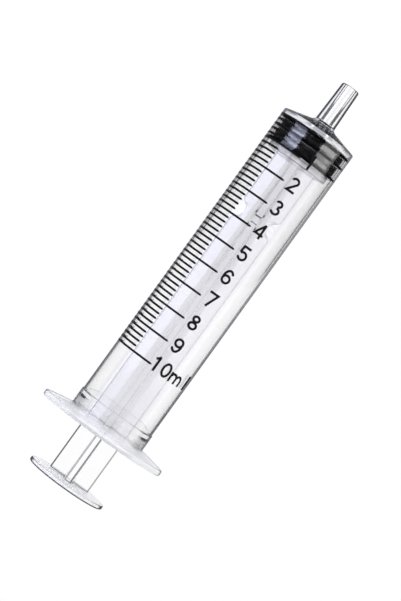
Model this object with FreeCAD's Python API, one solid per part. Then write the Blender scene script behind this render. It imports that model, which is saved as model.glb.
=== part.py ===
"""Disposable 10 ml syringe with a plain tapered slip nozzle, in millimetres.

It stands on its thumb rest with the nozzle up: Z is the long axis and the origin is the centre
of the thumb rest's underside. X runs along the finger flange's long way, and the printed scale
faces -Y. The plunger is pushed fully in.
"""
import FreeCAD, Part
import math
import os

from FreeCAD import Vector

# Barrel
bore_diameter = 15.1
barrel_wall = 0.85
barrel_length = 74.9            # flange underside to the corner of the shoulder
end_wall = 1.35                 # along the axis, through the shoulder cone
shoulder_rise = 1.7
shoulder_edge_radius = 0.2

# Slip nozzle, a 6 % cone
nozzle_length = 9.3
nozzle_tip_diameter = 3.96
nozzle_taper = 0.06             # diameter gained for each unit of length
nozzle_lip_radius = 0.35
nozzle_root_radius = 1.0
channel_diameter = 1.8
channel_mouth_diameter = 2.8    # funnel between the bore and the channel
channel_mouth_depth = 1.35

# Open end: collar, retaining bead and oval finger flange
collar_height = 5.75            # above the flange's underside
collar_step = 0.2
bead_height = 1.05
bead_step = 0.1
mouth_relief = 0.2
mouth_chamfer = 0.5
flange_length = 28.6
flange_width = 19.4
flange_rim_thickness = 1.15
flange_root_thickness = 2.2     # where the long way of the flange meets the collar
flange_edge_radius = 0.3

# Printed scale
scale_volume = 10               # millilitres from the first line to the last
lines_per_ml = 5
line_thickness = 0.36
ink_thickness = 0.04
line_start_angle = -100.0       # round the axis from -Y, positive towards +X
short_line_end_angle = -33.0
long_line_end_angle = 0.0

# Rubber gasket
gasket_clearance = 0.03         # between a sealing rib and the bore
nose_gap = 0.15                 # left between the nose and the shoulder when pushed in
gasket_length = 5.5             # side wall, front edge to rear face
front_rib_height = 0.55
middle_rib_height = 0.45
rear_rib_height = 0.7
front_groove_height = 1.6
groove_depth = 0.3
rear_edge_bevel = 0.15
nose_flat_diameter = 2.0

# Plunger rod
thumb_rest_diameter = 17.6
thumb_rest_rim = 0.85
thumb_rest_crown = 0.4          # rise of the top face towards the rod
thumb_rest_edge_radius = 0.3
finger_gap = 11.05              # thumb rest's crown to the flange when pushed in
rod_span = 9.3
wing_thickness = 1.5
wing_edge_radius = 0.25
wing_root_radius = 0.5
waist_drop = 15.0               # gasket's rear face to the middle of the waist
waist_height = 4.3
waist_floor_height = 1.9
waist_span = 6.0
support_disc_diameter = 13.8
support_disc_thickness = 1.3
seat_clearance = 0.05           # support disc to the gasket's rear face
neck_diameter = 6.0
neck_length = 1.6
head_diameter = 9.0
head_rim_height = 0.8
head_tip_diameter = 3.6
head_cone_height = 2.2
head_clearance = 0.06           # head and neck to the gasket's pocket

# Reach of each cutting shape past the material it cuts
cut_overrun = 1.0

# Places and radii that follow from the sizes above
AXIS = Vector(0, 0, 1)
bore_radius = bore_diameter / 2
barrel_radius = bore_radius + barrel_wall
collar_radius = barrel_radius + collar_step
flange_z = thumb_rest_rim + thumb_rest_crown + finger_gap
collar_z = flange_z + collar_height
bead_z = collar_z - bead_height
shoulder_z = flange_z + barrel_length
nozzle_root_z = shoulder_z + shoulder_rise
nozzle_tip_z = nozzle_root_z + nozzle_length
nozzle_base_radius = nozzle_tip_diameter / 2 + nozzle_taper * nozzle_length / 2
cone_slope = shoulder_rise / (barrel_radius - nozzle_base_radius)


def inner_cone_z(radius):
    """Height of the shoulder's inner face at a radius."""
    return shoulder_z + cone_slope * (barrel_radius - radius) - end_wall


gasket_front_z = inner_cone_z(bore_radius) - nose_gap
gasket_rear_z = gasket_front_z - gasket_length
gasket_radius = bore_radius - gasket_clearance
ml_pitch = 1000.0 / (math.pi * bore_radius ** 2)
line_pitch = ml_pitch / lines_per_ml


def point(radius, z):
    """A point of a half section, in the XZ plane."""
    return Vector(radius, 0, z)


def half_section(corners):
    """Closed wire through (radius, z) corners; a corner's third number rounds it off."""
    places = [point(*corner[:2]) for corner in corners]
    starts, ends, arcs = [], [], []
    for i, corner in enumerate(corners):
        here = places[i]
        rounding = corner[2] if len(corner) > 2 else 0.0
        if not rounding:
            starts.append(here)
            ends.append(here)
            arcs.append(None)
            continue
        back = (places[i - 1] - here).normalize()
        ahead = (places[(i + 1) % len(places)] - here).normalize()
        half_angle = back.getAngle(ahead) / 2
        reach = rounding / math.tan(half_angle)
        centre = here + (back + ahead).normalize() * (rounding / math.sin(half_angle))
        middle = centre + (here - centre).normalize() * rounding
        starts.append(here + back * reach)
        ends.append(here + ahead * reach)
        arcs.append(middle)
    edges = []
    for i, middle in enumerate(arcs):
        if middle is not None:
            edges.append(Part.Arc(starts[i], middle, ends[i]).toShape())
        following = starts[(i + 1) % len(starts)]
        if ends[i].distanceToPoint(following) > 1e-6:
            edges.append(Part.LineSegment(ends[i], following).toShape())
    return Part.Wire(edges)


def turned(corners):
    """Solid of revolution about the long axis."""
    return Part.Face(half_section(corners)).revolve(Vector(), AXIS, 360)


def flange():
    """Oval finger flange: a disc with a coned upper face, squeezed to the oval."""
    long_radius = flange_length / 2
    fall = flange_root_thickness - flange_rim_thickness
    slope = fall / (long_radius - collar_radius)
    core_radius = bore_radius / 2
    core_z = flange_z + flange_rim_thickness + slope * (long_radius - core_radius)
    disc = turned([
        (0, flange_z),
        (long_radius, flange_z, flange_edge_radius),
        (long_radius, flange_z + flange_rim_thickness, flange_edge_radius),
        (core_radius, core_z),
        (0, core_z),
    ])
    squeeze = FreeCAD.Matrix()
    squeeze.scale(1, flange_width / flange_length, 1)
    return disc.transformGeometry(squeeze)


def barrel():
    """Barrel, flange, collar, shoulder and slip nozzle, moulded in one."""
    outside = turned([
        (0, flange_z),
        (collar_radius, flange_z),
        (collar_radius, collar_z - collar_step / 2),
        (collar_radius - collar_step / 2, collar_z),
        (barrel_radius, collar_z),
        (barrel_radius, shoulder_z, shoulder_edge_radius),
        (nozzle_base_radius, nozzle_root_z, nozzle_root_radius),
        (nozzle_tip_diameter / 2, nozzle_tip_z, nozzle_lip_radius),
        (0, nozzle_tip_z),
    ])
    mouth_radius = bore_radius + mouth_relief
    bead_radius = bore_radius - bead_step
    channel_radius = channel_diameter / 2
    funnel_radius = channel_mouth_diameter / 2
    funnel_z = inner_cone_z(funnel_radius)
    inside = turned([
        (0, flange_z - cut_overrun),
        (mouth_radius + mouth_chamfer + cut_overrun, flange_z - cut_overrun),
        (mouth_radius, flange_z + mouth_chamfer),
        (mouth_radius, bead_z - mouth_relief - bead_step),
        (bead_radius, bead_z),
        (bead_radius, collar_z - bead_step),
        (bore_radius, collar_z),
        (bore_radius, inner_cone_z(bore_radius)),
        (funnel_radius, funnel_z),
        (channel_radius, funnel_z + channel_mouth_depth),
        (channel_radius, nozzle_tip_z + cut_overrun),
        (0, nozzle_tip_z + cut_overrun),
    ])
    return outside.fuse(flange()).removeSplitter().cut(inside)


def scale_line(z, end_angle):
    """One printed line, a thin curved bar that lies on the barrel."""
    half = line_thickness / 2
    section = Part.makePolygon([
        point(barrel_radius, z - half),
        point(barrel_radius + ink_thickness, z - half),
        point(barrel_radius + ink_thickness, z + half),
        point(barrel_radius, z + half),
        point(barrel_radius, z - half),
    ])
    line = Part.Face(section).revolve(Vector(), AXIS, end_angle - line_start_angle)
    line.rotate(Vector(), AXIS, line_start_angle - 90)
    return line


def scale_marks():
    """Printed lines from 0 at the gasket's front edge down to the full volume."""
    lines = []
    for step in range(scale_volume * lines_per_ml + 1):
        is_long = step % lines_per_ml == 0
        end_angle = long_line_end_angle if is_long else short_line_end_angle
        lines.append(scale_line(gasket_front_z - step * line_pitch, end_angle))
    return Part.makeCompound(lines)


def gasket():
    """Rubber piston head: three sealing ribs, a coned nose and a pocket for the rod's head."""
    groove_radius = gasket_radius - groove_depth
    front_rib_z = gasket_front_z - front_rib_height
    middle_top_z = front_rib_z - front_groove_height
    middle_low_z = middle_top_z - middle_rib_height
    rear_rib_z = gasket_rear_z + rear_rib_height
    flat_radius = nose_flat_diameter / 2
    nose_z = inner_cone_z(flat_radius) - nose_gap
    body = turned([
        (0, gasket_rear_z),
        (gasket_radius - rear_edge_bevel, gasket_rear_z),
        (gasket_radius, gasket_rear_z + rear_edge_bevel),
        (gasket_radius, rear_rib_z),
        (groove_radius, rear_rib_z + groove_depth),
        (groove_radius, middle_low_z - groove_depth / 2),
        (gasket_radius, middle_low_z),
        (gasket_radius, middle_top_z),
        (groove_radius, middle_top_z + groove_depth / 2),
        (groove_radius, front_rib_z - groove_depth / 2),
        (gasket_radius, front_rib_z),
        (gasket_radius, gasket_front_z),
        (flat_radius, nose_z),
        (0, nose_z),
    ])
    return body.cut(turned(head_corners(head_clearance)))


def head_corners(clearance):
    """Half section of the rod's neck and snap-in head, grown by a clearance for the pocket."""
    base_z = gasket_rear_z - seat_clearance
    rim_z = base_z + neck_length
    shoulder = rim_z + head_rim_height
    tip_z = shoulder + head_cone_height
    neck = neck_diameter / 2 + clearance
    rim = head_diameter / 2 + clearance
    tip = head_tip_diameter / 2 + clearance
    return [
        (0, base_z),
        (neck, base_z),
        (neck, rim_z - clearance),
        (rim, rim_z - clearance),
        (rim, shoulder + clearance),
        (tip, tip_z + clearance),
        (0, tip_z + clearance),
    ]


def cross_section():
    """Closed wire of the rod's four-winged section, with rounded wing edges and roots."""
    half_span = rod_span / 2
    half_wing = wing_thickness / 2
    edges = []
    last = None
    for quarter in range(4):
        turn = FreeCAD.Rotation(AXIS, 90 * quarter)

        def place(x, y):
            return turn.multVec(Vector(x, y, 0))

        def rounded(centre_x, centre_y, radius, start, end):
            spots = []
            for angle in (start, (start + end) / 2, end):
                way = math.radians(angle)
                x = centre_x + radius * math.cos(way)
                y = centre_y + radius * math.sin(way)
                spots.append(place(x, y))
            return spots

        edge_x = half_span - wing_edge_radius
        edge_y = half_wing - wing_edge_radius
        root = half_wing + wing_root_radius
        corners = [
            rounded(edge_x, -edge_y, wing_edge_radius, -90, 0),
            rounded(edge_x, edge_y, wing_edge_radius, 0, 90),
            rounded(root, root, wing_root_radius, 270, 180),
        ]
        for first, middle, final in corners:
            if last is not None:
                edges.append(Part.LineSegment(last, first).toShape())
            edges.append(Part.Arc(first, middle, final).toShape())
            last = final
        if quarter == 0:
            opening = corners[0][0]
    edges.append(Part.LineSegment(last, opening).toShape())
    return Part.Wire(edges)


def waist_cutter():
    """Bar with sloping flanks that takes the waist out of the wing along +X."""
    middle_z = gasket_rear_z - waist_drop
    outer = rod_span / 2 + cut_overrun
    floor = waist_span / 2
    flank = (waist_height - waist_floor_height) / 2
    run = rod_span / 2 - floor
    spread = flank * (outer - floor) / run
    low = waist_floor_height / 2
    outline = Part.makePolygon([
        Vector(floor, -wing_thickness, middle_z - low),
        Vector(outer, -wing_thickness, middle_z - low - spread),
        Vector(outer, -wing_thickness, middle_z + low + spread),
        Vector(floor, -wing_thickness, middle_z + low),
        Vector(floor, -wing_thickness, middle_z - low),
    ])
    return Part.Face(outline).extrude(Vector(0, 2 * wing_thickness, 0))


def plunger_rod():
    """Thumb rest, four-winged rod with its waist, support disc, neck and head, in one."""
    disc_top_z = gasket_rear_z - seat_clearance
    disc_low_z = disc_top_z - support_disc_thickness
    rest_radius = thumb_rest_diameter / 2
    crown_z = thumb_rest_rim + thumb_rest_crown
    thumb_rest = turned([
        (0, 0),
        (rest_radius, 0, thumb_rest_edge_radius),
        (rest_radius, thumb_rest_rim, thumb_rest_edge_radius),
        (wing_thickness, crown_z),
        (0, crown_z),
    ])
    support_disc = turned([
        (0, disc_low_z),
        (support_disc_diameter / 2, disc_low_z),
        (support_disc_diameter / 2, disc_top_z),
        (0, disc_top_z),
    ])
    wings = Part.Face(cross_section()).extrude(Vector(0, 0, disc_low_z - thumb_rest_rim))
    wings.translate(Vector(0, 0, thumb_rest_rim))
    for quarter in range(4):
        cutter = waist_cutter()
        cutter.rotate(Vector(), AXIS, 90 * quarter)
        wings = wings.cut(cutter)
    head = turned(head_corners(0))
    return wings.multiFuse([thumb_rest, support_disc, head]).removeSplitter()


def main():
    os.makedirs("parts", exist_ok=True)
    pieces = {
        "barrel": barrel(),
        "scale_marks": scale_marks(),
        "gasket": gasket(),
        "plunger_rod": plunger_rod(),
    }
    for name, shape in pieces.items():
        shape.exportStep("parts/" + name + ".step")
        box = shape.BoundBox
        print(name, len(shape.Solids), "solids", round(shape.Volume, 2), "mm3",
              "z", round(box.ZMin, 3), "to", round(box.ZMax, 3), "valid", shape.isValid())


main()
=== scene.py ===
import math
from collections import namedtuple

import bmesh
import bpy
from mathutils import Matrix, Vector


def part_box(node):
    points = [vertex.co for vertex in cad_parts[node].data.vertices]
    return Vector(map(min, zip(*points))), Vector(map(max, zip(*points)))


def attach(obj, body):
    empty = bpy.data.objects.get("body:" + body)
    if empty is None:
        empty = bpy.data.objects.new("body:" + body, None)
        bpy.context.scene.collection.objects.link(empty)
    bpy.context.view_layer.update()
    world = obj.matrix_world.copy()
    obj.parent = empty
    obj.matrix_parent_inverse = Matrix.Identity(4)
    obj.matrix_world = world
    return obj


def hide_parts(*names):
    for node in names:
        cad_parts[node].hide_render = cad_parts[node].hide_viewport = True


bl_info = {
    "name": "Slip Tip Syringe",
    "version": (1, 0, 0),
    "blender": (4, 5, 0),
    "location": "3D View > Sidebar > Syringe",
    "description": "Clear barrel with a printed scale, black gasket and plunger rod on a white stage",
    "category": "Add Mesh",
}

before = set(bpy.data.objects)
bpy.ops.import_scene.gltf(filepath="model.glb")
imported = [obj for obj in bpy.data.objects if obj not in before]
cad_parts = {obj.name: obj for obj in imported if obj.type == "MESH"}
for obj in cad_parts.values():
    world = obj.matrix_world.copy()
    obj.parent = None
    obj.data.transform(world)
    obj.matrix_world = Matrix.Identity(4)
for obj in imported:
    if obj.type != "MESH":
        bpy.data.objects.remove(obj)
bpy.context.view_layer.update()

MM = 0.001
BARREL_LOW, BARREL_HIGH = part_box("barrel")
GASKET_LOW, GASKET_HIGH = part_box("gasket")
MARKS_LOW, MARKS_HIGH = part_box("scale_marks")

BARREL_SEGMENTS = 360
ROUND_SEGMENTS = 256
BEND_STEPS = 6                  # straight pieces in a rounded corner of an outline
WELD = 1e-8                     # metres within which two points are one
INNER_EDGE = 0.1 * MM           # rounding of the barrel's small inner edges
CLEAR_SHARP = 35                # degrees from which an edge of the clear plastic is a sharp one


# Sizes and colours

def length(name, description, default):
    return bpy.props.FloatProperty(name=name, description=description, default=default,
                                   min=0.0, unit="LENGTH", precision=5)


def angle(name, description, degrees):
    return bpy.props.FloatProperty(name=name, description=description,
                                   default=math.radians(degrees), subtype="ANGLE")


def amount(name, description, default):
    return bpy.props.FloatProperty(name=name, description=description, default=default,
                                   min=0.0, soft_max=1.0)


def colour(name, description, default):
    return bpy.props.FloatVectorProperty(name=name, description=description, default=default,
                                         size=3, min=0.0, max=1.0, subtype="COLOR")


def whole(name, description, default):
    return bpy.props.IntProperty(name=name, description=description, default=default, min=1)


class BarrelSettings(bpy.types.PropertyGroup):
    """Sizes and finish of the barrel"""
    underside: length("Flange underside", "Height of the flange's lower face", BARREL_LOW.z)
    tip: length("Nozzle tip", "Height of the nozzle's end", BARREL_HIGH.z)
    flange_long: length("Flange long radius", "Half of the oval flange's length", BARREL_HIGH.x)
    flange_short: length("Flange short radius", "Half of the oval flange's width", BARREL_HIGH.y)
    bore: length("Bore radius", "Radius of the bore the gasket runs in", 7.55 * MM)
    radius: length("Barrel radius", "Outer radius of the barrel", 8.4 * MM)
    rim: length("Flange rim", "Thickness of the flange at its rim", 1.15 * MM)
    root: length("Flange root", "Thickness of the flange at the collar, along its length", 2.2 * MM)
    edge: length("Flange edge", "Rounding of the flange's rim", 0.3 * MM)
    fillet: length("Flange fillet", "Hollow rounding where the flange meets the collar", 0.3 * MM)
    collar: length("Collar height", "Height of the collar above the flange's underside", 5.75 * MM)
    collar_step: length("Collar step", "How far the collar stands out of the barrel", 0.2 * MM)
    mouth_relief: length("Mouth relief", "How much the mouth's radius exceeds the bore's", 0.2 * MM)
    mouth_slope: length("Mouth slope", "Height of the slope from the bead to the mouth's wall", 0.6 * MM)
    mouth_chamfer: length("Mouth chamfer", "Bevel of the mouth's edge", 0.5 * MM)
    bead: length("Retaining bead", "How far the retaining bead stands into the bore", 0.1 * MM)
    bead_height: length("Bead height", "From the collar's top down to the bead's lower end", 1.05 * MM)
    shoulder: length("Shoulder height", "From the flange's underside to the shoulder's corner", 74.9 * MM)
    shoulder_rise: length("Shoulder rise", "Height of the shoulder's cone", 1.7 * MM)
    shoulder_edge: length("Shoulder edge", "Rounding of the shoulder's corner", 0.2 * MM)
    end_wall: length("End wall", "Thickness of the shoulder along the axis", 1.35 * MM)
    nozzle_tip: length("Nozzle tip radius", "Outer radius at the nozzle's end", 1.98 * MM)
    nozzle_taper: amount("Nozzle taper", "Diameter gained for each unit of the nozzle's length", 0.06)
    nozzle_root: length("Nozzle root", "Hollow rounding where the nozzle meets the shoulder", 1.0 * MM)
    nozzle_edge: length("Nozzle edge", "Rounding of the nozzle's end", 0.35 * MM)
    channel: length("Channel radius", "Radius of the nozzle's channel", 0.9 * MM)
    funnel: length("Funnel radius", "Radius of the channel's mouth in the bore", 1.4 * MM)
    funnel_depth: length("Funnel depth", "Depth of the channel's mouth", 1.35 * MM)
    # the tint, darker than the side tint, is painted shade where the rod's wings stand behind the barrel
    tint: colour("Plastic tint", "Light that has passed through one wall", (0.91, 0.905, 0.93))
    side_tint: colour("Side tint", "Light that passes beside the rod's wings", (0.99, 0.99, 0.995))
    nozzle_tint: colour("Nozzle tint", "Light that has passed through the nozzle", (0.985, 0.985, 0.99))
    haze: amount("Haze", "Roughness of the plastic, which blurs what is behind it", 0.06)
    ior: amount("Refraction", "Index of refraction of the plastic", 1.49)
    # the edge colour and the line and shade shares below are painted shade laid on the clear plastic where
    # it is seen edge on
    edge_tint: colour("Edge tint", "Plastic where it is seen edge on", (0.035, 0.035, 0.052))
    edge_from: amount("Edge from", "Where the edge line starts, from 0 face on to 1 edge on", 0.60)
    edge_to: amount("Edge to", "Where the edge line is full, from 0 face on to 1 edge on", 0.70)
    edge_share: amount("Edge share", "Strength of the edge line", 0.72)
    nozzle_share: amount("Nozzle lines", "Strength of the nozzle's outer and inner lines", 0.95)
    collar_share: amount("Collar shade", "Strength of the shade on the collar's sides", 0.42)
    rim_share: amount("Rim lines", "Strength of the thin lines along the flange's rim", 0.75)
    cloud: colour("Cloud colour", "Milky cloud in the thick plastic", (0.97, 0.97, 0.985))
    cloud_share: amount("Cloud share", "Strength of the milky cloud in the flange", 0.65)
    collar_cloud: amount("Collar cloud", "Strength of the milky cloud in the collar", 0.05)
    # the end share is a painted highlight: milky white in the clear end wall in front of the gasket
    end_cloud: amount("End cloud", "Strength of the milky cloud in front of the gasket", 0.5)

    @property
    def collar_radius(self):
        return self.radius + self.collar_step

    @property
    def collar_z(self):
        return self.underside + self.collar

    @property
    def shoulder_z(self):
        return self.underside + self.shoulder

    @property
    def root_z(self):
        """Height at which the nozzle leaves the shoulder's cone."""
        return self.shoulder_z + self.shoulder_rise

    @property
    def nozzle_base(self):
        return self.nozzle_tip + self.nozzle_taper * (self.tip - self.root_z) / 2

    def inner_cone(self, radius):
        """Height of the bore's coned end at a radius."""
        slope = self.shoulder_rise / (self.radius - self.nozzle_base)
        return self.shoulder_z + slope * (self.radius - radius) - self.end_wall

    @property
    def funnel_z(self):
        """Height at which the channel's mouth has narrowed to the channel."""
        return self.inner_cone(self.funnel) + self.funnel_depth


class ScaleSettings(bpy.types.PropertyGroup):
    """Sizes and finish of the printed scale"""
    zero: length("Zero line", "Height of the first line", MARKS_HIGH.z - 0.18 * MM)
    last: length("Last line", "Height of the last line", MARKS_LOW.z + 0.18 * MM)
    millilitres: whole("Millilitres", "Volume at the last line", 10)
    lines_per_ml: whole("Lines per millilitre", "Spaces in a millilitre", 5)
    thickness: length("Line thickness", "Height of a printed line", 0.42 * MM)
    ink: length("Ink film", "How far the ink stands out of the barrel", 0.04 * MM)
    bite: length("Ink bite", "How far the ink reaches into the barrel's surface", 0.01 * MM)
    start: angle("Line start", "Where lines start round the axis, from the front", -100)
    short_end: angle("Short line end", "Where short lines end round the axis, from the front", -33)
    long_end: angle("Long line end", "Where long lines end round the axis, from the front", 0)
    figure_height: length("Figure height", "Height of a printed figure", 3.2 * MM)
    figure_width: length("Figure width", "Width of a printed figure", 2.1 * MM)
    figure_place: length("Figure place", "Middle of the figures, right of the front", 2.05 * MM)
    figure_rise: length("Figure rise", "How far a figure's middle stands above its line", 0.4 * MM)
    last_rise: length("Last figure rise", "The same for the last line's figures and unit", 0.7 * MM)
    stroke: amount("Stroke", "Width of a figure's strokes, as a share of its height", 0.155)
    ink_colour: colour("Ink", "Colour of the printed scale", (0.003, 0.003, 0.004))


class GasketSettings(bpy.types.PropertyGroup):
    """Sizes and finish of the rubber gasket"""
    rear: length("Rear face", "Height of the gasket's rear face", GASKET_LOW.z)
    nose: length("Nose", "Height of the gasket's nose", GASKET_HIGH.z)
    side: length("Side wall", "Length of the gasket's side wall", 5.5 * MM)
    squeeze: length("Squeeze", "How far a sealing rib presses into the bore's surface", 0.015 * MM)
    groove: length("Groove depth", "Depth of the grooves between the ribs", 0.22 * MM)
    rear_rib: length("Rear rib", "Height of the rear sealing rib", 0.5 * MM)
    rear_slope: length("Rear slope", "Height of the rear rib's slope into the groove", 0.35 * MM)
    middle_rib: length("Middle rib", "Height of the middle sealing rib", 0.45 * MM)
    middle_drop: length("Middle drop", "From the side wall's front end to the middle rib", 2.15 * MM)
    front_rib: length("Front rib", "Height of the front sealing rib", 0.55 * MM)
    rib_slope: length("Rib slope", "Height of the other ribs' slopes into the grooves", 0.15 * MM)
    rib_edge: length("Rib edge", "Rounding along the ribs and grooves", 0.12 * MM)
    end_edge: length("End edge", "Rounding at both ends of the side wall", 0.15 * MM)
    nose_flat: length("Nose flat", "Radius of the flat end of the nose", 1.0 * MM)
    nose_edge: length("Nose edge", "Rounding of the nose's flat end", 0.3 * MM)
    tint: colour("Rubber", "Colour of the rubber", (0.002, 0.002, 0.003))


class RodSettings(bpy.types.PropertyGroup):
    """Sizes and finish of the plunger rod"""
    rest_radius: length("Thumb rest radius", "Outer radius of the thumb rest", 8.8 * MM)
    rest_rim: length("Thumb rest rim", "Thickness of the thumb rest at its rim", 0.85 * MM)
    rest_crown: length("Thumb rest crown", "Rise of the thumb rest towards the rod", 0.4 * MM)
    rest_edge: length("Thumb rest edge", "Rounding of the thumb rest's rim", 0.3 * MM)
    rest_bend: length("Thumb rest bend", "Rounding where the crown turns level", 1.0 * MM)
    span: length("Wing span", "Width over two opposite wings", 9.3 * MM)
    wing: length("Wing thickness", "Thickness of a wing", 1.5 * MM)
    wing_edge: length("Wing edge", "Rounding of a wing's edges", 0.25 * MM)
    wing_root: length("Wing root", "Hollow rounding where two wings meet", 0.5 * MM)
    wing_bite: length("Wing bite", "How far the wings reach into the support disc", 0.2 * MM)
    waist_drop: length("Waist drop", "From the gasket's rear face to the waist's middle", 15.0 * MM)
    waist_height: length("Waist height", "Height of the waist at the wings' edges", 4.3 * MM)
    waist_floor: length("Waist floor", "Height of the waist's straight floor", 1.9 * MM)
    waist_span: length("Waist span", "Width over two opposite wings at the waist", 6.0 * MM)
    waist_bend: length("Waist bend", "Rounding of the waist's corners", 1.4 * MM)
    disc_radius: length("Support disc radius", "Outer radius of the disc behind the gasket", 6.9 * MM)
    disc_height: length("Support disc height", "Thickness of the disc behind the gasket", 1.3 * MM)
    disc_edge: length("Support disc edge", "Rounding of the support disc's rim", 0.15 * MM)
    seat: length("Seat gap", "From the support disc to the gasket's rear face", 0.05 * MM)
    neck: length("Neck radius", "Radius of the neck inside the gasket", 3.0 * MM)
    neck_length: length("Neck length", "From the support disc to the head", 1.6 * MM)
    head: length("Head radius", "Radius of the head's rim", 4.5 * MM)
    head_rim: length("Head rim", "Height of the head's rim", 0.8 * MM)
    head_tip: length("Head tip radius", "Radius of the head's flat tip", 1.8 * MM)
    head_cone: length("Head cone", "Height of the head's cone", 2.2 * MM)
    head_gap: length("Head gap", "From neck and head to the gasket's pocket", 0.06 * MM)
    tint: colour("Plastic tint", "Light that has passed through a wing", (0.99, 0.99, 0.995))
    haze: amount("Haze", "Roughness of the part that stands out of the barrel", 0.12)
    inner_haze: amount("Inner haze", "Roughness of the part that the barrel holds", 0.16)
    haze_full: length("Full haze", "Height from which the inner haze is full", 20 * MM)
    ior: amount("Refraction", "Index of refraction, low so that the rod shows faintly inside", 1.31)
    cloud: colour("Cloud colour", "Milky cloud in the thick plastic", (0.98, 0.98, 0.99))
    cloud_share: amount("Cloud share", "Strength of the milky cloud in the thumb rest", 0.55)
    disc_cloud: amount("Disc cloud", "Share of that strength in the support disc", 0.1)
    flank_share: amount("Flank cloud", "Strength of the cloud in the waist's flanks", 0.65)
    # the edge colour and the line settings below are painted shade laid along the rod's edges
    edge_tint: colour("Edge tint", "Thin lines along the wings' edges", (0.03, 0.03, 0.045))
    edge_share: amount("Edge share", "Strength of the lines along the wings' edges", 0.78)
    lines_full: length("Full lines", "Height up to which the wings' lines are full", 11.5 * MM)
    lines_faint: length("Faint lines", "Height from which they are faint and the haze grows", 14 * MM)
    near_lines: amount("Near wing's lines", "Share of the near wing's lines inside the barrel", 0.12)
    side_lines: amount("Side wings' lines", "How much more the side wings' lines keep there", 0.2)

    @property
    def crown_z(self):
        return self.rest_rim + self.rest_crown

    @property
    def disc_top(self):
        return bpy.context.scene.syringe_gasket.rear - self.seat

    @property
    def disc_low(self):
        return self.disc_top - self.disc_height

    @property
    def waist_z(self):
        return bpy.context.scene.syringe_gasket.rear - self.waist_drop

    def head_corners(self, gap=0.0):
        """Half section of the head, grown by a gap for the gasket's pocket."""
        foot = self.disc_top + self.neck_length
        shoulder = foot + self.head_rim + gap
        tip = shoulder + self.head_cone
        return [(self.neck + gap, foot - gap), (self.head + gap, foot - gap),
                (self.head + gap, shoulder), (self.head_tip + gap, tip), (0, tip)]


class StageSettings(bpy.types.PropertyGroup):
    """Camera, lamps and floor"""
    distance: length("Camera distance", "From the camera to the syringe's axis", 470 * MM)
    height: length("Picture height", "Height of the picture's middle on the axis", 45.9 * MM)
    camera_height: length("Camera height", "Height of the camera", 50.0 * MM)
    aside: length("Camera aside", "How far the camera stands right of the axis", 0.45 * MM)
    roll: angle("Camera roll", "How far the syringe leans to the right in the picture", 35.8)
    focal: bpy.props.FloatProperty(name="Focal length", description="Focal length in millimetres",
                                   default=140.1, min=1.0)
    card_distance: length("Softbox distance", "From a softbox to the syringe's axis", 500 * MM)
    card_height: length("Softbox height", "Height of a softbox", 800 * MM)
    left_glow: amount("Left softbox glow", "Radiance of the left softbox, where 1 is white", 2.9)
    right_glow: amount("Right softbox glow", "Radiance of the right softbox, where 1 is white", 1.7)
    left_from: angle("Left softbox, inner edge", "Angle from the camera's side", 29)
    left_to: angle("Left softbox, outer edge", "Angle from the camera's side", 73)
    right_from: angle("Right softbox, inner edge", "Angle from the camera's side", 30)
    right_to: angle("Right softbox, outer edge", "Angle from the camera's side", 89)
    left_colour: colour("Left softbox colour", "Colour of the left softbox", (0.74, 0.78, 1.0))
    right_colour: colour("Right softbox colour", "Colour of the right softbox", (1.0, 1.0, 0.98))
    room: amount("Room level", "Brightness of the room that dull surfaces see", 1.06)
    dark_room: amount("Dim room level", "The same beside the backdrop, for reflections", 0.04)
    backdrop: angle("Backdrop", "Half the angle of the white backdrop in reflections", 36)
    backdrop_rise: angle("Backdrop rise", "How far up and down it reaches in reflections", 16)
    clear_view: angle("Clear view", "Half the angle of the backdrop through clear plastic", 48)
    backdrop_blur: angle("Backdrop blur", "Half the angle over which the backdrop ends", math.degrees(0.05))
    shadow: amount("Floor shadow", "Share of the syringe's shadow that the floor shows", 0.35)
    drop: length("Floor drop", "From the thumb rest to the floor, clear of the pulled rod", 64 * MM)


# Meshes

def corner_points(corners):
    """Points of an outline through (radius, height) corners; a corner's third number rounds it."""
    places = [Vector(corner[:2]) for corner in corners]
    points = []
    for i, corner in enumerate(corners):
        here = places[i]
        if len(corner) < 3:
            points.append(here)
            continue
        back = (places[i - 1] - here).normalized()
        ahead = (places[i + 1] - here).normalized()
        half = back.angle(ahead) / 2
        centre = here + (back + ahead).normalized() * (corner[2] / math.sin(half))
        first = here + back * (corner[2] / math.tan(half)) - centre
        last = here + ahead * (corner[2] / math.tan(half)) - centre
        for step in range(BEND_STEPS + 1):
            points.append(centre + first.slerp(last, step / BEND_STEPS).normalized() * corner[2])
    return [(point.x, point.y) for point in points]


def ring(radius, height, segments):
    """Points of a level circle, or the one point of a pole."""
    if radius < WELD:
        return [(0.0, 0.0, height)]
    turn = 2 * math.pi / segments
    return [(radius * math.cos(turn * k), radius * math.sin(turn * k), height) for k in range(segments)]


def ring_mesh(name, rings, closed, sharp=30):
    """Closed surface through rings of points, each the same way round."""
    places, starts = [], []
    for points in rings:
        starts.append((len(places), len(points)))
        places += points
    faces = []
    pairs = list(zip(starts, starts[1:]))
    if closed:
        pairs.append((starts[-1], starts[0]))
    for (low, low_count), (high, high_count) in pairs:
        count = max(low_count, high_count)
        for k in range(count):
            after = (k + 1) % count
            spots = [low + k % low_count, low + after % low_count,
                     high + after % high_count, high + k % high_count]
            faces.append(tuple(dict.fromkeys(spots)))
    return new_mesh(name, places, faces, sharp)


def new_mesh(name, places, faces, sharp=30):
    mesh = bpy.data.meshes.new(name)
    mesh.from_pydata(places, [], faces)
    tidy_mesh(mesh, sharp)
    return mesh


def tidy_mesh(mesh, sharp=30):
    """Faces point outwards and shade smoothly up to the sharp angle."""
    work = bmesh.new()
    work.from_mesh(mesh)
    bmesh.ops.remove_doubles(work, verts=work.verts, dist=WELD)
    bmesh.ops.recalc_face_normals(work, faces=work.faces)
    work.to_mesh(mesh)
    work.free()
    mesh.shade_smooth()
    mesh.set_sharp_from_angle(angle=math.radians(sharp))


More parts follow.
